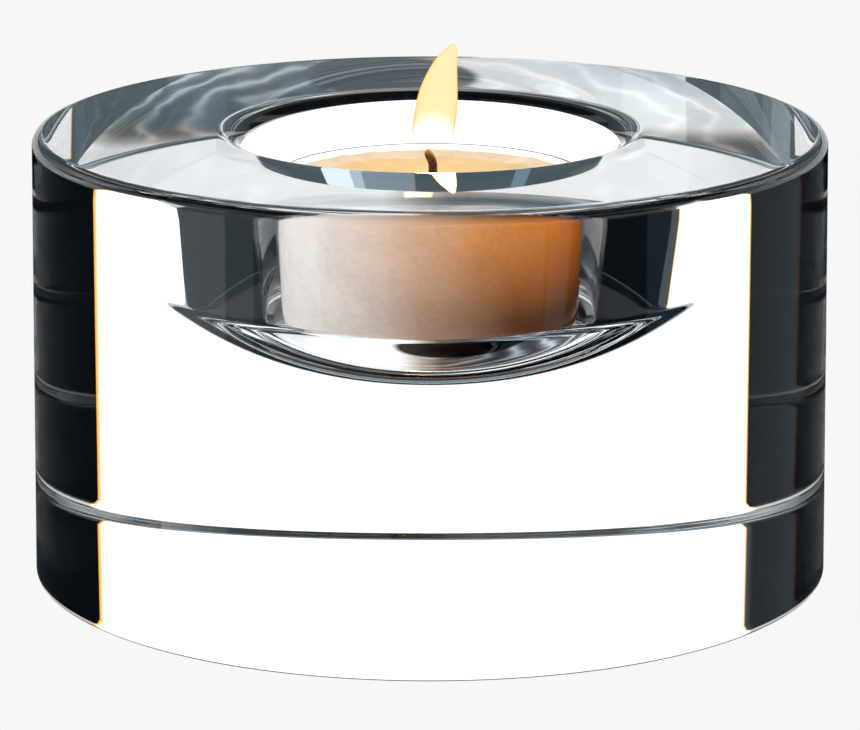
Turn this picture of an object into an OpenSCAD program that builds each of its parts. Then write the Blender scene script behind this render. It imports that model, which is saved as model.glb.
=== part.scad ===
// Round crystal holder with a tealight standing in a well in its top.
// Millimetres, +Z up, origin at the centre of the underside.

/* [Glass block] */
// Diameter across the top of the side wall
block_top_d = 98; // [90:0.5:106]
// Diameter across the foot of the side wall
block_base_d = 98.8; // [90:0.2:106]
// Height of the block
block_h = 56; // [50:0.5:62]
// Radius of the rounded edge round the top face
top_edge_r = 1.5; // [0.5:0.1:4]
// Radius of the fine edge round the underside
base_edge_r = 1; // [0.2:0.1:2]

/* [Candle well] */
// Diameter of the well's wall, 10 mm above the floor
well_d = 43.6; // [43:0.1:44.6]
// Draft angle of the well's wall
well_draft = 6.5; // [5:0.1:8]
// Depth of the well below the top face
well_depth = 27.6; // [26:0.1:30]
// Radius of the flare at the well's mouth
mouth_r = 3; // [2:0.1:4.5]
// Radius of the well's dished floor
bowl_r = 27; // [26:0.1:29]
// Radius of the small flat in the middle of the dished floor
bowl_flat_r = 2; // [1.7:0.1:3]
// Radius that blends the dished floor into the wall
well_blend_r = 2.4; // [1.5:0.1:2.6]

/* [Tealight cup] */
// Outer diameter of the clear cup at its rim
cup_d = 39; // [38.4:0.1:39.4]
// Outer diameter that the cup's wall would have at its underside
cup_foot_d = 37.8; // [36.8:0.1:38.2]
// Height of the cup
cup_h = 17; // [16:0.1:18]
// Height of the cup's underside above the well's floor
cup_rest_h = 4.8; // [4.8:0.1:6.5]
// Radius of the cup's bottom corner
cup_corner_r = 3; // [2.4:0.1:4]
// Thickness of the cup's wall and floor
cup_wall = 0.5; // [0.4:0.1:0.8]
// Width of the bead that stiffens the cup's rim
rim_bead = 0.7; // [0.6:0.05:0.9]

/* [Wax] */
// Height of the wax surface above the cup's inner floor
wax_h = 15.8; // [13:0.1:16]
// Depth of the dished pool in the middle of the wax
pool_depth = 0.5; // [0.2:0.1:1]
// Width of the crust left standing round the pool
crust_w = 1.6; // [1:0.1:4]
// Shrinkage gap between the wax and the cup
wax_gap = 0.15; // [0.1:0.05:0.3]

/* [Wick] */
// Diameter of the braided wick
wick_d = 1.2; // [1:0.1:2.2]
// Length of wick standing out of the pool
wick_out = 4.6; // [3:0.1:5]
// Length of the burnt end that leans over
wick_tip_l = 2.2; // [1.5:0.1:2.8]
// Angle through which the burnt end leans
wick_lean = 27; // [10:1:45]
// Direction in which the burnt end leans, from +X
wick_dir = 180; // [0:1:359]

/* [Wick sustainer] */
// Diameter of the tin disc under the wick
disc_d = 13; // [10:0.5:16]
// Thickness of the tin
tin_t = 0.3; // [0.2:0.05:0.4]
// Height of the collar that grips the wick
collar_h = 3; // [2:0.1:5]

/* [Hidden] */
$fn = 128;
touch_gap = 0.05;
past = 1;
elbow_swell = 1.04;
draft_gauge_h = 10;

block_top_r = block_top_d / 2;
block_base_r = block_base_d / 2;
floor_z = block_h - well_depth;
bowl_z = floor_z + bowl_r;
cup_z = floor_z + cup_rest_h;
cup_rim_z = cup_z + cup_h;
disc_z = cup_z + cup_wall;
wax_z = disc_z + wax_h;
pool_z = wax_z - pool_depth;
wick_r = wick_d / 2;
wick_foot_z = disc_z + tin_t;
wick_bend_z = pool_z + wick_out - wick_tip_l;
collar_r = wick_r + touch_gap + tin_t;

// Radius of the block's side wall at height z
function side_r(z) = block_base_r + (block_top_r - block_base_r) * z / block_h;
// Radius of the well's wall at height z
function well_r(z) = well_d / 2 + tan(well_draft) * (z - floor_z - draft_gauge_h);
// Radius of the outside of the cup's wall at height z
function cup_r(z) = cup_foot_d / 2 + (cup_d - cup_foot_d) / 2 * (z - cup_z) / cup_h;

// Flare at the mouth: its centre stands one radius off the wall and off the top face
flare_c = [well_r(block_h - mouth_r) + mouth_r / cos(well_draft), block_h - mouth_r];
flare_low_z = flare_c[1] + mouth_r * sin(well_draft);

// Blend between bowl and wall: its centre lies one radius inside the wall, and inside the bowl
blend_in = bowl_r - well_blend_r;
blend_x0 = well_r(bowl_z) - well_blend_r / cos(well_draft) - bowl_flat_r;
blend_k = tan(well_draft);
blend_disc = pow(blend_x0 * blend_k, 2) - (1 + blend_k * blend_k) * (blend_x0 * blend_x0 - blend_in * blend_in);
blend_drop = (blend_x0 * blend_k + sqrt(blend_disc)) / (1 + blend_k * blend_k);
blend_c = [bowl_flat_r + blend_x0 - blend_k * blend_drop, bowl_z - blend_drop];
blend_top_z = blend_c[1] - well_blend_r * sin(well_draft);
bowl_dir = (blend_c - [bowl_flat_r, bowl_z]) / blend_in;
bowl_end = [bowl_flat_r, bowl_z] + bowl_r * bowl_dir;

// What a rounded outer corner takes away, in the quadrant above and outside its centre
module corner_waste(r) {
    difference() {
        square(r + past);
        circle(r);
    }
}

module block_outline() {
    top_c = [side_r(block_h - top_edge_r) - top_edge_r, block_h - top_edge_r];
    base_c = [side_r(base_edge_r) - base_edge_r, base_edge_r];
    difference() {
        polygon([[0, 0], [block_base_r, 0], [block_top_r, block_h], [0, block_h]]);
        translate(top_c) corner_waste(top_edge_r);
        translate(base_c) mirror([0, 1]) corner_waste(base_edge_r);
    }
}

module well_outline() {
    // straight-sided core, whose corners are the ends of the round stretches that bulge out of it
    polygon([
        [0, floor_z],
        [bowl_flat_r, floor_z],
        bowl_end,
        [well_r(blend_top_z), blend_top_z],
        [well_r(flare_low_z), flare_low_z],
        [0, block_h]
    ]);
    // dished floor
    intersection() {
        translate([bowl_flat_r, bowl_z]) circle(bowl_r);
        translate([bowl_flat_r, floor_z]) square([bowl_r, bowl_end[1] - floor_z]);
    }
    // blend between the floor and the wall
    intersection() {
        translate(blend_c) circle(well_blend_r);
        translate([bowl_flat_r, bowl_end[1]]) square([bowl_r, blend_top_z - bowl_end[1]]);
    }
    // flared mouth
    difference() {
        translate([0, flare_low_z]) square([flare_c[0], block_h + past - flare_low_z]);
        translate(flare_c) circle(mouth_r);
    }
}

module glass_block() {
    color([0.86, 0.9, 0.92, 0.35])
    rotate_extrude() difference() {
        block_outline();
        well_outline();
    }
}

// Half outline of the cup's shape drawn in by an inset, with a rounded bottom corner
module cup_outline(inset, low_z, high_z) {
    corner = cup_corner_r - min(inset, cup_wall);
    centre = [cup_r(low_z + corner) - inset - corner, low_z + corner];
    difference() {
        polygon([
            [0, low_z],
            [cup_r(low_z) - inset, low_z],
            [cup_r(high_z) - inset, high_z],
            [0, high_z]
        ]);
        translate(centre) mirror([0, 1]) corner_waste(corner);
    }
}

module candle_cup() {
    bead_r = rim_bead / 2;
    bead_z = cup_rim_z - bead_r;
    color([0.92, 0.93, 0.93, 0.4])
    rotate_extrude() difference() {
        union() {
            cup_outline(0, cup_z, bead_z);
            translate([cup_r(bead_z) - bead_r, bead_z]) circle(bead_r);
        }
        cup_outline(cup_wall, disc_z, bead_z + past / 100);
    }
}

module wax_outline() {
    inset = cup_wall + wax_gap;
    pool_r = cup_r(wax_z) - inset - crust_w;
    dish_r = (pool_r * pool_r + pool_depth * pool_depth) / (2 * pool_depth);
    intersection() {
        difference() {
            cup_outline(inset, disc_z, wax_z);
            translate([0, pool_z + dish_r]) circle(dish_r, $fn = 512);
            // hole for the wick, with room for the sustainer under the wax
            square([wick_r + touch_gap, block_h]);
            translate([0, disc_z - past])
                square([collar_r + touch_gap, past + tin_t + collar_h + touch_gap]);
            translate([0, disc_z - past]) square([disc_d / 2 + touch_gap, past + tin_t + touch_gap]);
        }
        square([block_top_r, block_h]);
    }
}

module wax() {
    color([0.93, 0.84, 0.66]) rotate_extrude() wax_outline();
}

module wick() {
    color([0.16, 0.11, 0.08])
    union() {
        translate([0, 0, wick_foot_z]) cylinder(r = wick_r, h = wick_bend_z - wick_foot_z);
        // burnt end, leaning over from a rounded elbow
        translate([0, 0, wick_bend_z]) {
            sphere(r = wick_r * elbow_swell);
            rotate([0, wick_lean, wick_dir]) cylinder(r = wick_r, h = wick_tip_l);
        }
    }
}

module wick_sustainer() {
    color([0.72, 0.72, 0.7])
    translate([0, 0, disc_z]) difference() {
        union() {
            cylinder(d = disc_d, h = tin_t);
            cylinder(r = collar_r, h = tin_t + collar_h);
        }
        translate([0, 0, tin_t]) cylinder(r = wick_r + touch_gap, h = collar_h + past);
    }
}

glass_block();
candle_cup();
wax();
wick();
wick_sustainer();
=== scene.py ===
import bmesh
import bpy
import math
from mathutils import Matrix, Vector


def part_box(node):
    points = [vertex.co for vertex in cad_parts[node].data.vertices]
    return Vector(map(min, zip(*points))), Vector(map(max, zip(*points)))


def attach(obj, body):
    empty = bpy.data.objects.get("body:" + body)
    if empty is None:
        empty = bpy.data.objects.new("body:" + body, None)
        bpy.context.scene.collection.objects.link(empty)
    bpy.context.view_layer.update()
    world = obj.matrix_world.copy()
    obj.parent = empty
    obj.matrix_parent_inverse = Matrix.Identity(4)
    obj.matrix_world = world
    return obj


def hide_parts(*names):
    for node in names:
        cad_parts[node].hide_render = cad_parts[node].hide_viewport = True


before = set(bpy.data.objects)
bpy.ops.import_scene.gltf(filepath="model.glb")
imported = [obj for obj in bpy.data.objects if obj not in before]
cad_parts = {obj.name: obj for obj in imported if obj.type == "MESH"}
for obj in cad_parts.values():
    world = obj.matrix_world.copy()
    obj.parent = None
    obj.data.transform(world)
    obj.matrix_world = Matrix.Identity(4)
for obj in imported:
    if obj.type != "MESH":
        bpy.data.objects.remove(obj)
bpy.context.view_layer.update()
mm = 0.001

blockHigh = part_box("glass_block")[1]
cupLow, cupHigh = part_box("candle_cup")
blockHeight = blockHigh.z
footRadius = blockHigh.x
cupRadius = cupHigh.x
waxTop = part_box("wax")[1].z
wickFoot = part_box("wick")[0].z
print("frame loaded: block", round(footRadius * 2 / mm, 1), "x", round(blockHeight / mm, 1), "mm")


def startFresh():
    if bpy.context.mode != "OBJECT":
        bpy.ops.object.mode_set(mode="OBJECT")
    bpy.ops.object.select_all(action="DESELECT")


def named(name):
    obj = bpy.context.active_object
    obj.name = name
    obj.data.name = name
    return obj


def only(obj):
    startFresh()
    obj.select_set(True)
    bpy.context.view_layer.objects.active = obj


def editing(obj, kind="VERT"):
    only(obj)
    bpy.ops.object.mode_set(mode="EDIT")
    bpy.ops.mesh.select_mode(type=kind)
    bpy.ops.mesh.select_all(action="DESELECT")
    return bmesh.from_edit_mesh(obj.data)


def applyAll(obj):
    only(obj)
    for modifier in list(obj.modifiers):
        bpy.ops.object.modifier_apply(modifier=modifier.name)


def settle(obj):
    only(obj)
    bpy.ops.object.transform_apply(location=True, rotation=True, scale=True)


def tidyNormals(obj, merge=0.001 * mm):
    editing(obj)
    bpy.ops.mesh.select_all(action="SELECT")
    bpy.ops.mesh.remove_doubles(threshold=merge)
    bpy.ops.mesh.normals_make_consistent(inside=False)
    bpy.ops.object.mode_set(mode="OBJECT")


def arc(centreR, centreZ, radius, fromAngle, toAngle, steps):
    points = []
    for i in range(steps + 1):
        a = math.radians(fromAngle + (toAngle - fromAngle) * i / steps)
        points.append((centreR + radius * math.cos(a), centreZ + radius * math.sin(a)))
    return points


def turned(name, outline, steps):
    # a half outline laid out edge by edge, then spun round the axis
    startFresh()
    bpy.ops.mesh.primitive_plane_add(size=mm, location=(0, 0, 0))
    obj = named(name)
    editing(obj)
    bpy.ops.mesh.select_all(action="SELECT")
    bpy.ops.mesh.merge(type="CENTER")
    bm = bmesh.from_edit_mesh(obj.data)
    bm.verts.ensure_lookup_table()
    first = bm.verts[0]
    first.co = (outline[0][0], 0, outline[0][1])
    first.select = True
    bm.select_flush_mode()
    bmesh.update_edit_mesh(obj.data)
    for (r0, z0), (r1, z1) in zip(outline, outline[1:]):
        bpy.ops.mesh.extrude_vertices_move(TRANSFORM_OT_translate={"value": (r1 - r0, 0, z1 - z0)})
    bpy.ops.mesh.select_all(action="SELECT")
    bpy.ops.mesh.spin(steps=steps, angle=math.tau, center=(0, 0, 0), axis=(0, 0, 1), use_auto_merge=True)
    bpy.ops.mesh.select_all(action="SELECT")
    bpy.ops.mesh.remove_doubles(threshold=0.0005 * mm)
    bpy.ops.mesh.normals_make_consistent(inside=False)
    bpy.ops.object.mode_set(mode="OBJECT")
    return obj


def newMaterial(name):
    material = bpy.data.materials.new(name)
    material.use_nodes = True
    material.node_tree.nodes.clear()
    return material, material.node_tree


def addNode(tree, kind, **settings):
    node = tree.nodes.new(kind)
    for key, value in settings.items():
        setattr(node, key, value)
    return node


def setInputs(node, **values):
    for key, value in values.items():
        node.inputs[key.replace("_", " ")].default_value = value


def ramp(tree, source, stops):
    node = addNode(tree, "ShaderNodeValToRGB")
    while len(node.color_ramp.elements) < len(stops):
        node.color_ramp.elements.new(0.5)
    for element, (place, colour) in zip(node.color_ramp.elements, stops):
        element.position = place
        element.color = (*colour, 1) if len(colour) == 3 else colour
    tree.links.new(source, node.inputs["Fac"])
    return node.outputs["Color"]


def mapped(tree, value, smooth=False, **limits):
    kind = "SMOOTHSTEP" if smooth else "LINEAR"
    node = addNode(tree, "ShaderNodeMapRange", interpolation_type=kind)
    setInputs(node, **limits)
    tree.links.new(value, node.inputs["Value"])
    return node.outputs["Result"]


def times(tree, first, second):
    node = addNode(tree, "ShaderNodeMath", operation="MULTIPLY")
    tree.links.new(first, node.inputs[0])
    tree.links.new(second, node.inputs[1])
    return node.outputs["Value"]


def blended(tree, under, over, share=None, kind="MIX"):
    # with no share given, the second colour counts in full
    node = addNode(tree, "ShaderNodeMix", data_type="RGBA", blend_type=kind)
    if share is None:
        node.inputs["Factor"].default_value = 1.0
    else:
        tree.links.new(share, node.inputs["Factor"])
    tree.links.new(under, node.inputs["A"])
    tree.links.new(over, node.inputs["B"])
    return node.outputs["Result"]


def pieceAxes(tree):
    # a point's place on the piece, whole and as X, Y and Z
    where = addNode(tree, "ShaderNodeTexCoord")
    split = addNode(tree, "ShaderNodeSeparateXYZ")
    tree.links.new(where.outputs["Object"], split.inputs["Vector"])
    return where, split


def fromAxis(tree, vector):
    # distance from the upright axis
    flat = addNode(tree, "ShaderNodeVectorMath", operation="MULTIPLY")
    flat.inputs[1].default_value = (1, 1, 0)
    reach = addNode(tree, "ShaderNodeVectorMath", operation="LENGTH")
    tree.links.new(vector, flat.inputs[0])
    tree.links.new(flat.outputs["Vector"], reach.inputs[0])
    return reach.outputs["Value"]


def noise(tree, where, **settings):
    node = addNode(tree, "ShaderNodeTexNoise")
    setInputs(node, **settings)
    tree.links.new(where.outputs["Object"], node.inputs["Vector"])
    return node.outputs["Fac"]


def roughen(tree, skin, height, strength, depth):
    bump = addNode(tree, "ShaderNodeBump")
    setInputs(bump, Strength=strength, Distance=depth)
    tree.links.new(height, bump.inputs["Height"])
    tree.links.new(bump.outputs["Normal"], skin.inputs["Normal"])


def principled(name):
    material, tree = newMaterial(name)
    out = addNode(tree, "ShaderNodeOutputMaterial")
    skin = addNode(tree, "ShaderNodeBsdfPrincipled")
    tree.links.new(skin.outputs["BSDF"], out.inputs["Surface"])
    return material, skin


def glowing(name, strength=1.0):
    material, tree = newMaterial(name)
    out = addNode(tree, "ShaderNodeOutputMaterial")
    glow = addNode(tree, "ShaderNodeEmission")
    glow.inputs["Strength"].default_value = strength
    tree.links.new(glow.outputs["Emission"], out.inputs["Surface"])
    return material, glow


def setMaterial(obj, material):
    obj.data.materials.clear()
    obj.data.materials.append(material)


glass = {
    "ior": 1.55,
    "roundSteps": 288,          # faces round the block
    "topEdge": 1.5 * mm,
    "footEdge": 1.0 * mm,
    "topRadius": 49 * mm,
    "mouth": 3 * mm,            # flare at the well's mouth
    "wellRadius": 21.8 * mm,    # of the wall, one gauge height over the floor
    "gauge": 10 * mm,
    "draft": 6.5,               # degrees
    "floorHeight": 28.4 * mm,
    "bowl": 27 * mm,
    "bowlFlat": 2 * mm,
    "blend": 2.4 * mm,
    # extra rings of faces, as shares of the foot, the side, the top face and the well's wall
    "footRings": (0.25, 0.5, 0.75, 0.94, 0.985),
    "sideRings": (0.03, 0.1, 0.5, 0.9, 0.95),
    "faceRings": (0.955, 0.93, 0.75, 0.58, 0.555),
    "wellRings": (0.04, 0.3, 0.7, 0.96),
}


def glassOutline():
    g = glass
    slope = math.tan(math.radians(g["draft"]))
    lean = math.cos(math.radians(g["draft"]))

    def wellWall(z):
        return g["wellRadius"] + slope * (z - g["floorHeight"] - g["gauge"])

    def sideWall(z):
        return footRadius + (g["topRadius"] - footRadius) * z / blockHeight

    bowlZ = g["floorHeight"] + g["bowl"]
    # centre of the blend, one blend radius inside both the wall and the bowl
    inside = g["bowl"] - g["blend"]
    x0 = wellWall(bowlZ) - g["blend"] / lean - g["bowlFlat"]
    square = 1 + slope * slope
    drop = (x0 * slope + math.sqrt((x0 * slope) ** 2 - square * (x0 * x0 - inside * inside))) / square
    blendR = g["bowlFlat"] + x0 - slope * drop
    blendZ = bowlZ - drop
    bowlEnd = math.degrees(math.atan2(blendZ - bowlZ, blendR - g["bowlFlat"]))
    flareZ = blockHeight - g["mouth"]
    flareR = wellWall(flareZ) + g["mouth"] / lean

    foot = g["footEdge"]
    top = g["topEdge"]
    points = [(0, 0)]
    points += [(footRadius * share, 0) for share in g["footRings"]]
    points += arc(sideWall(foot) - foot, foot, foot, -90, 0, 6)
    points += [(sideWall(blockHeight * share), blockHeight * share) for share in g["sideRings"]]
    points += arc(sideWall(blockHeight - top) - top, blockHeight - top, top, 0, 90, 14)
    points += [(g["topRadius"] * share, blockHeight) for share in g["faceRings"]]
    points += arc(flareR, flareZ, g["mouth"], 90, 180 - g["draft"], 26)
    lowWall = blendZ - g["blend"] * math.sin(math.radians(g["draft"]))
    highWall = points[-1][1]
    for share in g["wellRings"]:
        z = highWall + (lowWall - highWall) * share
        points.append((wellWall(z), z))
    points += arc(blendR, blendZ, g["blend"], -g["draft"], bowlEnd, 14)
    points += arc(g["bowlFlat"], bowlZ, g["bowl"], bowlEnd, -90, 26)[1:]
    points += [(g["bowlFlat"] * 0.5, g["floorHeight"]), (0, g["floorHeight"])]
    return points


def makeGlassBlock():
    block = turned("cut_glass_block", glassOutline(), glass["roundSteps"])
    only(block)
    bpy.ops.object.shade_smooth_by_angle(angle=math.radians(40))
    return block


def glassMaterial():
    material, skin = principled("clear crystal")
    setInputs(skin, Base_Color=(0.995, 0.998, 1.0, 1), Transmission_Weight=1.0)
    setInputs(skin, Roughness=0.0, IOR=glass["ior"])
    return material


glassBlock = makeGlassBlock()
setMaterial(glassBlock, glassMaterial())
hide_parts("glass_block")
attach(glassBlock, "holder")
print("glass block:", len(glassBlock.data.polygons), "faces")


cup = {
    "wall": 0.5 * mm,
    "footRadius": 18.9 * mm,
    "corner": 3 * mm,
    "bead": 0.35 * mm,
    "floorRing": 0.6,           # an extra ring of faces on the floor, as a share of the foot
    "ior": 1.15,                # so thin and clear that it hardly bends light
    "roundSteps": 192,
}


def cupSide(z):
    # outer radius of the cup's wall
    return cup["footRadius"] + (cupRadius - cup["footRadius"]) * (z - cupLow.z) / (cupHigh.z - cupLow.z)


def cupOutline():
    c = cup
    corner = c["corner"]
    innerCorner = corner - c["wall"]
    cornerZ = cupLow.z + corner
    innerZ = cupLow.z + c["wall"] + innerCorner
    ringR = c["floorRing"] * c["footRadius"]
    points = [(0, cupLow.z), (ringR, cupLow.z)]
    points += arc(cupSide(cornerZ) - corner, cornerZ, corner, -90, 0, 10)
    points += arc(cupRadius - c["bead"], cupHigh.z - c["bead"], c["bead"], 0, 180, 10)
    points += arc(cupSide(innerZ) - c["wall"] - innerCorner, innerZ, innerCorner, 0, -90, 8)
    points += [(ringR, cupLow.z + c["wall"]), (0, cupLow.z + c["wall"])]
    return points


def cupMaterial():
    material, skin = principled("clear moulded cup")
    setInputs(skin, Base_Color=(0.97, 0.97, 0.96, 1), Transmission_Weight=1.0)
    setInputs(skin, Roughness=0.12, IOR=cup["ior"])
    return material


clearCup = turned("clear_cup", cupOutline(), cup["roundSteps"])
only(clearCup)
bpy.ops.object.shade_smooth_by_angle(angle=math.radians(40))
setMaterial(clearCup, cupMaterial())
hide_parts("candle_cup")
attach(clearCup, "cup")
print("cup:", len(clearCup.data.polygons), "faces")


wax = {
    "corner": 2.5 * mm,
    "wetting": 0.03 * mm,       # the wax clings to the cup's wall
    "crustWidth": 2.2 * mm,
    "poolDepth": 0.5 * mm,
    "crustFall": 0.75,          # share of the pool's depth that the crust falls by
    "floorGap": 0.02 * mm,
    "shoulder": [(0.05 * mm, 0.35 * mm), (0.2 * mm, 0.12 * mm), (0.5 * mm, 0)],    # inward and down
    "lump": 0.144 * mm,         # height of the widest lumps on the crust
    # how many lumps all round, where they start, and their share of the height
    "lumpWaves": [(9, 1.3, 1), (17, 0.4, 0.7), (31, 2.1, 0.5)],
    "lumpSink": 0.1 * mm,
    "lumpBand": (1.6, 0.3 * mm),    # inner end in crust widths, outer end off the cup's wall
    "halfWidth": 19 * mm,       # the side's painted light runs over this, left and right
    "topReach": 18.5 * mm,      # and the top's painted flame light over this, from the middle out
    "lowTone": 4.5 * mm,        # painted shade darkest up to this height over the cup's foot
    "highTone": 1 * mm,         # painted glow brightest from this far below the top
    # strength of the painted glow, which makes the wax shine though it is no lamp
    "glow": 0.95,
    "roundSteps": 192,
}


def waxOutline():
    w = wax
    footZ = cupLow.z + cup["wall"] + w["floorGap"]
    poolZ = waxTop - w["poolDepth"]

    def side(z):
        return cupSide(z) - cup["wall"] + w["wetting"]

    sideR = side(waxTop)
    poolR = sideR - w["crustWidth"]
    cornerR = side(footZ + w["corner"]) - w["corner"]
    points = [(0, footZ), (0.5 * cornerR, footZ)]
    points += arc(cornerR, footZ + w["corner"], w["corner"], -90, 0, 10)
    for share in (0.2, 0.4, 0.6, 0.8, 0.93):
        z = footZ + w["corner"] + share * (waxTop - footZ - w["corner"])
        points.append((side(z), z))
    for inward, down in w["shoulder"]:
        points.append((sideR - inward, waxTop - down))
    for share in (0.2, 0.4, 0.6, 0.8, 1.0):
        drop = w["poolDepth"] * (0.5 - 0.5 * math.cos(math.pi * share)) * w["crustFall"]
        points.append((sideR - inward - (w["crustWidth"] - inward) * share, waxTop - drop))
    for share in (0.85, 0.7, 0.5, 0.3, 0.12, 0.0):
        points.append((poolR * share, poolZ + w["poolDepth"] * (1 - w["crustFall"]) * share ** 2))
    return points


def lumpCrust(obj):
    # small uneven lumps where the crust met the melt
    w = wax
    inner = cupRadius - w["crustWidth"] * w["lumpBand"][0]
    outer = cupRadius - cup["wall"] - w["lumpBand"][1]
    bm = editing(obj)
    for vertex in bm.verts:
        r = math.hypot(vertex.co.x, vertex.co.y)
        if vertex.co.z > waxTop - w["poolDepth"] and inner < r < outer:
            turn = math.atan2(vertex.co.y, vertex.co.x)
            wave = sum(share * math.sin(count * turn + start) for count, start, share in w["lumpWaves"])
            vertex.co.z += w["lump"] * wave - w["lumpSink"]
    bmesh.update_edit_mesh(obj.data)
    bpy.ops.object.mode_set(mode="OBJECT")


def waxMaterial():
    w = wax
    material, skin = principled("paraffin wax")
    tree = material.node_tree
    where, split = pieceAxes(tree)
    # painted light on the side: paler on the left as if lit by daylight, painted amber glow on the right as
    # if the flame shone through
    across = mapped(tree, split.outputs["X"], From_Min=-w["halfWidth"], From_Max=w["halfWidth"])
    warm = ramp(tree, across, [
        (0.0, (0.86, 0.81, 0.79)), (0.2, (0.85, 0.76, 0.71)), (0.42, (0.74, 0.50, 0.35)),
        (0.62, (0.66, 0.28, 0.09)), (0.85, (0.62, 0.17, 0.015)), (1.0, (0.40, 0.09, 0.006)),
    ])
    # painted shade: lower down the side turns darker, most on the right
    low = ramp(tree, across, [
        (0.0, (0.74, 0.72, 0.72)), (0.28, (0.66, 0.58, 0.53)), (0.48, (0.38, 0.24, 0.17)),
        (0.72, (0.11, 0.04, 0.014)), (1.0, (0.04, 0.015, 0.004)),
    ])
    lowZ = cupLow.z + w["lowTone"]
    height = mapped(tree, split.outputs["Z"], From_Min=lowZ, From_Max=waxTop - w["highTone"])
    side = blended(tree, low, warm, height)
    # painted flame light on the top, brightest at the middle, with the paler crust near the rim
    reach = fromAxis(tree, where.outputs["Object"])
    top = ramp(tree, mapped(tree, reach, From_Min=0.0, From_Max=w["topReach"]), [
        (0.0, (0.98, 0.76, 0.36)), (0.5, (0.90, 0.61, 0.25)), (0.84, (0.87, 0.58, 0.27)),
        (0.9, (0.92, 0.70, 0.45)), (1.0, (0.88, 0.68, 0.48)),
    ])
    normal = addNode(tree, "ShaderNodeSeparateXYZ")
    tree.links.new(where.outputs["Normal"], normal.inputs["Vector"])
    upward = mapped(tree, normal.outputs["Z"], smooth=True, From_Min=0.45, From_Max=0.80)
    facing = blended(tree, side, top, upward)
    # fine crystals and faint clouds in the wax
    grain = noise(tree, where, Scale=1500.0, Detail=3.0, Roughness=0.6)
    clouds = noise(tree, where, Scale=260.0, Detail=2.0)
    speck = mapped(tree, grain, From_Min=0.3, From_Max=0.7, To_Min=0.93, To_Max=1.05)
    haze = mapped(tree, clouds, From_Min=0.3, From_Max=0.7, To_Min=0.93, To_Max=1.04)
    paintedGlowAndGrain = blended(tree, facing, times(tree, speck, haze), kind="MULTIPLY")
    # painted glow: the wax gives off its painted colours and grain as light
    tree.links.new(paintedGlowAndGrain, skin.inputs["Emission Color"])
    # the base colour, which the room lights, is half as strong, because the same colour is also painted on
    # as glow
    lit = addNode(tree, "ShaderNodeMix", data_type="RGBA", blend_type="MULTIPLY")
    lit.inputs["Factor"].default_value = 1.0
    lit.inputs["B"].default_value = (0.5, 0.5, 0.5, 1)
    tree.links.new(paintedGlowAndGrain, lit.inputs["A"])
    tree.links.new(lit.outputs["Result"], skin.inputs["Base Color"])
    roughen(tree, skin, clouds, 0.25, 0.2 * mm)
    setInputs(skin, Roughness=0.5, IOR=1.44, Specular_IOR_Level=0.18, Emission_Strength=w["glow"])
    return material


waxBlock = turned("wax_block", waxOutline(), wax["roundSteps"])
lumpCrust(waxBlock)
only(waxBlock)
bpy.ops.object.shade_smooth_by_angle(angle=math.radians(50))
setMaterial(waxBlock, waxMaterial())
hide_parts("wax")
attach(waxBlock, "refill")
print("wax:", len(waxBlock.data.polygons), "faces")


wickSpec = {
    "radius": 0.54 * mm,
    "place": 0.35 * mm,         # the wick stands a little to the right
    "bendHeight": 2.3 * mm,     # above the pool
    "lean": 27,
    "tipLength": 2.2 * mm,
    "rings": 16,                # up the straight stretch
    "tipRings": 7,
    "leanRings": 3,             # rings of the tip over which it bends
    "taperRings": 2,            # last rings of the tip, each smaller than the one below
    "taper": 0.8,
    "strands": 3,
    "ringTwist": 17,            # degrees from ring to ring
    "grooveDepth": 0.07,        # as a share of the radius
    "grooveTurn": 0.55,         # radians from ring to ring
    "emberAndPaintedGlow": 0.35,              # how strongly the char glows: the ember of the burnt wick, and painted light from the flame around it
}


def makeWick():
    # a round stub drawn upwards ring by ring, its burnt end leaning over
    s = wickSpec
    startFresh()
    bendZ = waxTop - wax["poolDepth"] + s["bendHeight"]
    foot = (0, 0, wickFoot)
    bpy.ops.mesh.primitive_circle_add(vertices=24, radius=s["radius"], fill_type="TRIFAN", location=foot)
    braid = named("wick_braid")
    settle(braid)
    editing(braid)
    bpy.ops.mesh.select_all(action="SELECT")
    rise = (bendZ - wickFoot) / s["rings"]
    aside = s["place"] / s["rings"]
    for i in range(s["rings"]):
        middle = (aside * (i + 1), 0, wickFoot + rise * (i + 1))
        twist = math.radians(s["ringTwist"])
        bpy.ops.mesh.extrude_region_move(TRANSFORM_OT_translate={"value": (aside, 0, rise)})
        bpy.ops.transform.rotate(value=twist, orient_axis="Z", center_override=middle)
    here = Vector((s["place"], 0, bendZ))
    for i in range(s["tipRings"]):
        lean = math.radians(s["lean"] * min(1.0, (i + 0.5) / s["leanRings"]))
        step = Vector((-math.sin(lean), 0, math.cos(lean))) * (s["tipLength"] / s["tipRings"])
        bpy.ops.mesh.extrude_region_move(TRANSFORM_OT_translate={"value": step})
        here += step
        tilt = math.radians(s["lean"] / s["leanRings"]) if i < s["leanRings"] else 0
        bpy.ops.transform.rotate(value=tilt, orient_axis="Y", center_override=here)
        if i >= s["tipRings"] - s["taperRings"]:
            bpy.ops.transform.resize(value=(s["taper"],) * 3, center_override=here)
    bpy.ops.object.mode_set(mode="OBJECT")
    tidyNormals(braid)
    # three plied strands show as grooves that wind up the wick
    bm = editing(braid)
    for vertex in bm.verts:
        up = (vertex.co.z - wickFoot) / rise
        middle = s["place"] * min(1.0, up / s["rings"])
        if vertex.co.z < bendZ:
            off = Vector((vertex.co.x - middle, vertex.co.y, 0))
            if off.length > s["radius"] * 0.5:
                turn = math.atan2(off.y, off.x) - up * s["grooveTurn"]
                swell = 1 + s["grooveDepth"] * math.cos(s["strands"] * turn)
                vertex.co.x = middle + off.x * swell
                vertex.co.y = off.y * swell
    bmesh.update_edit_mesh(braid.data)
    bpy.ops.object.mode_set(mode="OBJECT")
    bpy.ops.object.shade_smooth_by_angle(angle=math.radians(60))
    return braid


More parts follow.
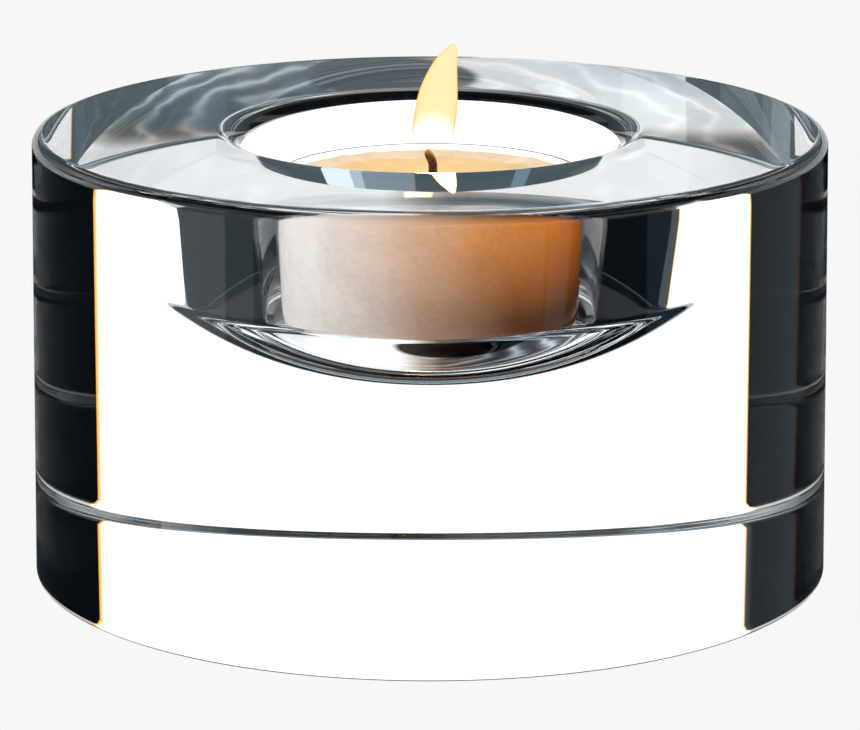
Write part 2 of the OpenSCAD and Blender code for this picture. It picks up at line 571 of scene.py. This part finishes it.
def wickMaterial():
    material, skin = principled("charred cotton")
    tree = material.node_tree
    where = addNode(tree, "ShaderNodeTexCoord")
    fibre = noise(tree, where, Scale=2600.0, Detail=4.0)
    char = ramp(tree, fibre, [
        (0.35, (0.012, 0.007, 0.005)), (0.55, (0.06, 0.028, 0.013)), (0.72, (0.20, 0.055, 0.012)),
    ])
    tree.links.new(char, skin.inputs["Base Color"])
    # partly painted light: the char's own colour also glows, for its ember and for the flame's light on it
    tree.links.new(char, skin.inputs["Emission Color"])
    roughen(tree, skin, fibre, 0.6, 0.1 * mm)
    setInputs(skin, Roughness=0.9, Emission_Strength=wickSpec["emberAndPaintedGlow"])
    return material


wickBraid = makeWick()
setMaterial(wickBraid, wickMaterial())
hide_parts("wick")
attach(wickBraid, "refill")
print("wick:", len(wickBraid.data.polygons), "faces")


def tinMaterial():
    material, skin = principled("tinned steel")
    tree = material.node_tree
    where = addNode(tree, "ShaderNodeTexCoord")
    rolled = noise(tree, where, Scale=900.0, Detail=3.0)
    tone = ramp(tree, rolled, [(0.3, (0.56, 0.56, 0.55)), (0.7, (0.74, 0.74, 0.73))])
    tree.links.new(tone, skin.inputs["Base Color"])
    tree.links.new(mapped(tree, rolled, To_Min=0.25, To_Max=0.45), skin.inputs["Roughness"])
    setInputs(skin, Metallic=1.0)
    return material


tin = tinMaterial()
for slot in bpy.data.objects["wick_sustainer"].material_slots:
    slot.material = tin
print("sustainer: tin finish set")


flameSpec = {
    # height, sideways place and half width of the flame, from its foot to its tip, in mm
    "shape": [
        (52.9, 0.20, 1.2), (53.5, 0.18, 2.15), (54.6, 0.25, 2.52), (55.8, 0.40, 2.65), (57.4, 0.60, 2.66),
        (59.0, 0.83, 2.60), (60.3, 0.97, 2.45), (61.5, 1.15, 2.25), (62.7, 1.42, 1.95), (63.7, 1.68, 1.68),
        (64.6, 1.98, 1.42), (65.4, 2.33, 1.05), (66.1, 2.66, 0.62), (66.6, 2.85, 0.28),
    ],
    "depth": 0.62,              # front to back, as a share of the width
    "glow": 1.06,
    "clearBelow": 56.0 * mm,    # the foot fades in between these two heights
    "fullAbove": 59.2 * mm,
    "sideLift": 3.6 * mm,       # the sides fade this much lower down
    "shine": 26.0,              # strength of its reflection in the glass
    "shineWidth": 0.9,          # as shares of the flame's own
    "shineHeight": 0.82,
}


def makeFlame(name, swell=1.0):
    f = flameSpec
    rows = f["shape"]
    startFresh()
    z, x, half = rows[0]
    foot = (x * mm, 0, z * mm)
    reach = half * mm * swell
    bpy.ops.mesh.primitive_circle_add(vertices=48, radius=reach, fill_type="TRIFAN", location=foot)
    flame = named(name)
    settle(flame)
    editing(flame)
    bpy.ops.mesh.select_all(action="SELECT")
    for (z0, x0, half0), (z1, x1, half1) in zip(rows, rows[1:]):
        step = ((x1 - x0) * mm, 0, (z1 - z0) * mm)
        bpy.ops.mesh.extrude_region_move(TRANSFORM_OT_translate={"value": step})
        grow = half1 / half0
        bpy.ops.transform.resize(value=(grow, grow, 1), center_override=(x1 * mm, 0, z1 * mm))
    bpy.ops.mesh.select_all(action="SELECT")
    bpy.ops.transform.resize(value=(1, f["depth"], 1), center_override=(0, 0, 0))
    bpy.ops.object.mode_set(mode="OBJECT")
    tidyNormals(flame)
    rounder = flame.modifiers.new("rounder", "SUBSURF")
    rounder.levels = 1
    rounder.render_levels = 1
    applyAll(flame)
    bpy.ops.object.shade_smooth()
    return flame


def flameMaterial():
    f = flameSpec
    material, tree = newMaterial("candle flame")
    out = addNode(tree, "ShaderNodeOutputMaterial")
    split = pieceAxes(tree)[1]
    edge = addNode(tree, "ShaderNodeLayerWeight")
    edge.inputs["Blend"].default_value = 0.42
    facing = edge.outputs["Facing"]
    tone = ramp(tree, facing, [
        (0.0, (1.0, 0.84, 0.47)), (0.35, (1.0, 0.79, 0.38)), (0.58, (1.0, 0.66, 0.18)),
        (0.78, (1.0, 0.46, 0.03)), (1.0, (0.90, 0.28, 0.01)),
    ])
    glow = addNode(tree, "ShaderNodeEmission")
    glow.inputs["Strength"].default_value = f["glow"]
    tree.links.new(tone, glow.inputs["Color"])
    # going down, the foot of the flame thins out first round the wick and later at its sides
    lifted = addNode(tree, "ShaderNodeMath", operation="MULTIPLY_ADD")
    lifted.inputs[1].default_value = f["sideLift"]
    tree.links.new(facing, lifted.inputs[0])
    tree.links.new(split.outputs["Z"], lifted.inputs[2])
    height = lifted.outputs["Value"]
    thin = mapped(tree, height, smooth=True, From_Min=f["clearBelow"], From_Max=f["fullAbove"])
    rim = mapped(tree, facing, smooth=True, From_Min=0.99, From_Max=0.80, To_Min=0.0, To_Max=1.0)
    clear = addNode(tree, "ShaderNodeBsdfTransparent")
    mix = addNode(tree, "ShaderNodeMixShader")
    tree.links.new(times(tree, thin, rim), mix.inputs["Fac"])
    tree.links.new(clear.outputs["BSDF"], mix.inputs[1])
    tree.links.new(glow.outputs["Emission"], mix.inputs[2])
    tree.links.new(mix.outputs["Shader"], out.inputs["Surface"])
    return material


flame = makeFlame("flame")
setMaterial(flame, flameMaterial())
flame.visible_shadow = False
flame.visible_glossy = False        # the shine stands in for it there
flame.visible_transmission = False
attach(flame, "refill")
print("flame:", len(flame.data.polygons), "faces")


view = {
    "distance": 641.7 * mm,
    "height": 187 * mm,
    "pitch": 14.09,             # degrees below level
    "focal": 5306.0,
    "across": 860,              # the view's width, in the focal length's units
    "sensor": 36,
    "near": 0.01,
    "far": 100,
}

studio = {
    "floorSize": 40,
    "floorDrop": 0.05 * mm,     # under the foot, so that the two share no plane
    "pale": (0.93, 0.93, 0.93),
    "dark": (0.0025, 0.004, 0.006),     # where nothing stands round the table
}

backCard = {
    "left": (-0.250, 0.330),    # X and Y of its two ends
    "right": (0.152, 0.198),
    "low": (-0.110, -0.075),    # heights, left and right
    "high": (0.135, 0.088),
    "strength": 1.4,
}

underglow = {
    "radius": 46 * mm,
    "depth": 8 * mm,            # below the foot
    "halfWidth": 40 * mm,       # its tones run over this, left and right
    "smoke": (-2 * mm, 6 * mm),     # the smoky side sets in between these places
    "shadePlace": (-6.2 * mm, 10 * mm, 0),
    "shadeShape": (0.74, 1.0, 1.0),
    "shadeEdge": (11.5 * mm, 13.5 * mm),
}


def makeFloor():
    startFresh()
    bpy.ops.mesh.primitive_plane_add(size=studio["floorSize"], location=(0, 0, -studio["floorDrop"]))
    floor = named("floor")
    material, glow = glowing("pale floor")
    glow.inputs["Color"].default_value = (*studio["pale"], 1)
    setMaterial(floor, material)
    floor.visible_transmission = False
    floor.visible_glossy = False


# what stands round the table, by direction: degrees to the right of straight behind, degrees up
surroundings = [
    # left and right ends, lower and upper ends, softness both ways, colour
    ((-168.4, -97), (-50, 34), (0.4, 6.0), (0.24, 0.30, 0.34)),  # tall grey screen at the front left
    ((-129, -97), (-50, 34), (0.5, 6.0), (0.55, 0.70, 0.78)),    # its paler end
    ((-120, -97), (-50, 34), (0.5, 6.0), (1.15, 1.32, 1.40)),    # and the brightest part of that
    ((104, 116), (-50, 34), (0.6, 6.0), (0.12, 0.22, 0.30)),     # grey screen at the front right
    ((-24, 24), (-33, -19.5), (2.0, 1.5), (0.56, 0.58, 0.59)),   # pale table behind
    ((118, 181), (-33, -19.5), (2.0, 1.5), (0.56, 0.58, 0.59)),  # and at the front right
    ((-181, 181), (-9, 8), (0.5, 1.2), (0.74, 0.76, 0.77)),      # pale walls at eye level
    ((-181, 181), (20.5, 32), (0.5, 1.5), (0.50, 0.52, 0.54)),   # and higher up
    ((-42, 40), (9.5, 60), (3.0, 0.8), (0.20, 0.27, 0.31)),      # high backdrop
    ((-180, 180), (-95, -66), (1.0, 4.0), (0.30, 0.32, 0.34)),   # table, straight down
    ((-168.9, -168.4), (-50, 34), (0.25, 6.0), (0.40, 0.15, 0.02)),    # warm edge of the first screen
]


def between(tree, value, low, high, soft):
    rise = mapped(tree, value, True, From_Min=low - soft, From_Max=low + soft)
    fall = mapped(tree, value, True, From_Min=high - soft, From_Max=high + soft, To_Min=1.0, To_Max=0.0)
    return times(tree, rise, fall)


def makeWorld():
    world = bpy.data.worlds.new("soft studio")
    bpy.context.scene.world = world
    world.use_nodes = True
    tree = world.node_tree
    tree.nodes.clear()
    out = addNode(tree, "ShaderNodeOutputWorld")
    where = addNode(tree, "ShaderNodeTexCoord")
    split = addNode(tree, "ShaderNodeSeparateXYZ")
    tree.links.new(where.outputs["Generated"], split.inputs["Vector"])
    turn = addNode(tree, "ShaderNodeMath", operation="ARCTAN2")
    tree.links.new(split.outputs["X"], turn.inputs[0])
    tree.links.new(split.outputs["Y"], turn.inputs[1])
    rise = addNode(tree, "ShaderNodeMath", operation="ARCSINE")
    tree.links.new(split.outputs["Z"], rise.inputs[0])
    degrees = []
    for angle in (turn, rise):
        change = addNode(tree, "ShaderNodeMath", operation="DEGREES")
        tree.links.new(angle.outputs["Value"], change.inputs[0])
        degrees.append(change.outputs["Value"])
    last = None
    for across, upward, soft, colour in surroundings:
        wide = between(tree, degrees[0], across[0], across[1], soft[0])
        tall = between(tree, degrees[1], upward[0], upward[1], soft[1])
        mix = addNode(tree, "ShaderNodeMix", data_type="RGBA")
        tree.links.new(times(tree, wide, tall), mix.inputs["Factor"])
        if last is None:
            mix.inputs["A"].default_value = (*studio["dark"], 1)
        else:
            tree.links.new(last, mix.inputs["A"])
        mix.inputs["B"].default_value = (*colour, 1)
        last = mix.outputs["Result"]
    # the view itself has a plain pale ground, while the glass sees what stands round it
    seen = addNode(tree, "ShaderNodeBackground")
    seen.inputs["Color"].default_value = (*studio["pale"], 1)
    around = addNode(tree, "ShaderNodeBackground")
    tree.links.new(last, around.inputs["Color"])
    path = addNode(tree, "ShaderNodeLightPath")
    mix = addNode(tree, "ShaderNodeMixShader")
    tree.links.new(path.outputs["Is Camera Ray"], mix.inputs["Fac"])
    tree.links.new(around.outputs["Background"], mix.inputs[1])
    tree.links.new(seen.outputs["Background"], mix.inputs[2])
    tree.links.new(mix.outputs["Shader"], out.inputs["Surface"])


def cardMaterial(name, left, right, strength):
    # white, with a warm strip down each end that shows as the colour fringe of the glass
    material, glow = glowing(name, strength)
    tree = material.node_tree
    split = pieceAxes(tree)[1]
    tone = ramp(tree, mapped(tree, split.outputs["X"], From_Min=left, From_Max=right), [
        (0.0, (1.0, 0.36, 0.02)), (0.008, (1.0, 0.62, 0.12)), (0.014, (1.0, 1.0, 1.0)),
        (0.988, (1.0, 1.0, 1.0)), (0.993, (1.0, 0.62, 0.12)), (1.0, (1.0, 0.36, 0.02)),
    ])
    tree.links.new(tone, glow.inputs["Color"])
    return material


def makeCard(name):
    # an upright glowing card that lights what shows through the glass and is not mirrored in its surface
    c = backCard
    left, right, low, high = c["left"], c["right"], c["low"], c["high"]
    startFresh()
    bpy.ops.mesh.primitive_plane_add(size=1, location=(0, 0, 0))
    card = named(name)
    corners = [(*left, low[0]), (*right, low[1]), (*left, high[0]), (*right, high[1])]
    for vertex, place in zip(card.data.vertices, corners):
        vertex.co = place
    setMaterial(card, cardMaterial(name, left[0], right[0], c["strength"]))
    card.visible_camera = False
    card.visible_glossy = False
    card.visible_shadow = False


def underMaterial():
    # what shows up through the foot: bright on one side, smoky streaks on the other
    u = underglow
    material, glow = glowing("light under the foot")
    tree = material.node_tree
    where, split = pieceAxes(tree)
    across = mapped(tree, split.outputs["X"], From_Min=-u["halfWidth"], From_Max=u["halfWidth"])
    tone = ramp(tree, across, [
        (0.0, (0.8, 0.85, 0.9)), (0.2, (1.2, 1.23, 1.26)), (0.42, (1.15, 1.15, 1.15)),
        (0.48, (0.50, 0.42, 0.36)), (0.53, (0.15, 0.11, 0.085)), (0.66, (0.06, 0.065, 0.075)),
        (0.80, (0.15, 0.17, 0.19)), (1.0, (0.24, 0.27, 0.29)),
    ])
    # rings of ripples, bent by slow noise, over the smoky side
    smoke = addNode(tree, "ShaderNodeTexWave", wave_type="RINGS", rings_direction="Z", wave_profile="SIN")
    setInputs(smoke, Scale=38.0, Distortion=7.0, Detail=2.0, Detail_Scale=1.3)
    tree.links.new(where.outputs["Object"], smoke.inputs["Vector"])
    streak = ramp(tree, smoke.outputs["Fac"], [
        (0.0, (0.25, 0.25, 0.26)), (0.55, (0.8, 0.8, 0.8)), (0.85, (2.2, 2.2, 2.2)), (1.0, (4.0, 4.0, 4.0)),
    ])
    fromX, toX = u["smoke"]
    smoky = mapped(tree, split.outputs["X"], From_Min=fromX, From_Max=toX, To_Min=0.08, To_Max=0.9)
    streaked = blended(tree, tone, streak, smoky, kind="MULTIPLY")
    # dark on the near side of the middle, which shows under the candle
    near = addNode(tree, "ShaderNodeMapping", vector_type="POINT")
    setInputs(near, Location=u["shadePlace"], Scale=u["shadeShape"])
    tree.links.new(where.outputs["Object"], near.inputs["Vector"])
    reach = fromAxis(tree, near.outputs["Vector"])
    darkTo, lightFrom = u["shadeEdge"]
    shade = mapped(tree, reach, smooth=True, From_Min=darkTo, From_Max=lightFrom, To_Min=0.01, To_Max=1.0)
    tree.links.new(blended(tree, streaked, shade, kind="MULTIPLY"), glow.inputs["Color"])
    return material


def makeUnderglow():
    startFresh()
    u = underglow
    middle = (0, 0, -u["depth"])
    bpy.ops.mesh.primitive_circle_add(vertices=64, radius=u["radius"], fill_type="NGON", location=middle)
    disc = named("under glow")
    settle(disc)
    setMaterial(disc, underMaterial())
    disc.visible_camera = False
    disc.visible_glossy = False
    disc.visible_shadow = False


def shineMaterial():
    material, glow = glowing("flame shine", flameSpec["shine"])
    tree = material.node_tree
    edge = addNode(tree, "ShaderNodeLayerWeight")
    edge.inputs["Blend"].default_value = 0.5
    tone = ramp(tree, edge.outputs["Facing"], [
        (0.0, (1.0, 0.82, 0.50)), (0.45, (0.8, 0.52, 0.18)), (0.75, (0.30, 0.12, 0.01)),
        (1.0, (0.03, 0.008, 0.0)),
    ])
    tree.links.new(tone, glow.inputs["Color"])
    return material


def makeShine():
    # the flame again, lower and far brighter, which only the glass shows
    shine = makeFlame("flame shine", flameSpec["shineWidth"])
    editing(shine)
    bpy.ops.mesh.select_all(action="SELECT")
    footZ = flameSpec["shape"][0][0] * mm
    bpy.ops.transform.resize(value=(1, 1, flameSpec["shineHeight"]), center_override=(0, 0, footZ))
    bpy.ops.object.mode_set(mode="OBJECT")
    setMaterial(shine, shineMaterial())
    shine.visible_camera = False
    shine.visible_shadow = False
    shine.visible_diffuse = False
    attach(shine, "refill")


def makeCamera():
    data = bpy.data.cameras.new("camera")
    camera = bpy.data.objects.new("camera", data)
    bpy.context.scene.collection.objects.link(camera)
    data.sensor_width = view["sensor"]
    data.lens = view["focal"] * view["sensor"] / view["across"]
    data.clip_start = view["near"]
    data.clip_end = view["far"]
    camera.location = (0, -view["distance"], view["height"])
    camera.rotation_euler = (math.radians(90 - view["pitch"]), 0, 0)
    bpy.context.scene.camera = camera


makeFloor()
makeWorld()
makeCard("back card")
makeUnderglow()
makeShine()
makeCamera()
print("studio: floor, surroundings, card, under glow, shine and camera set")

scene = bpy.context.scene
scene.view_settings.view_transform = "Standard"
scene.view_settings.look = "None"
scene.cycles.max_bounces = 24
scene.cycles.transmission_bounces = 24
scene.cycles.glossy_bounces = 12
scene.cycles.diffuse_bounces = 3
scene.cycles.transparent_max_bounces = 12
scene.cycles.caustics_refractive = True
scene.cycles.caustics_reflective = True
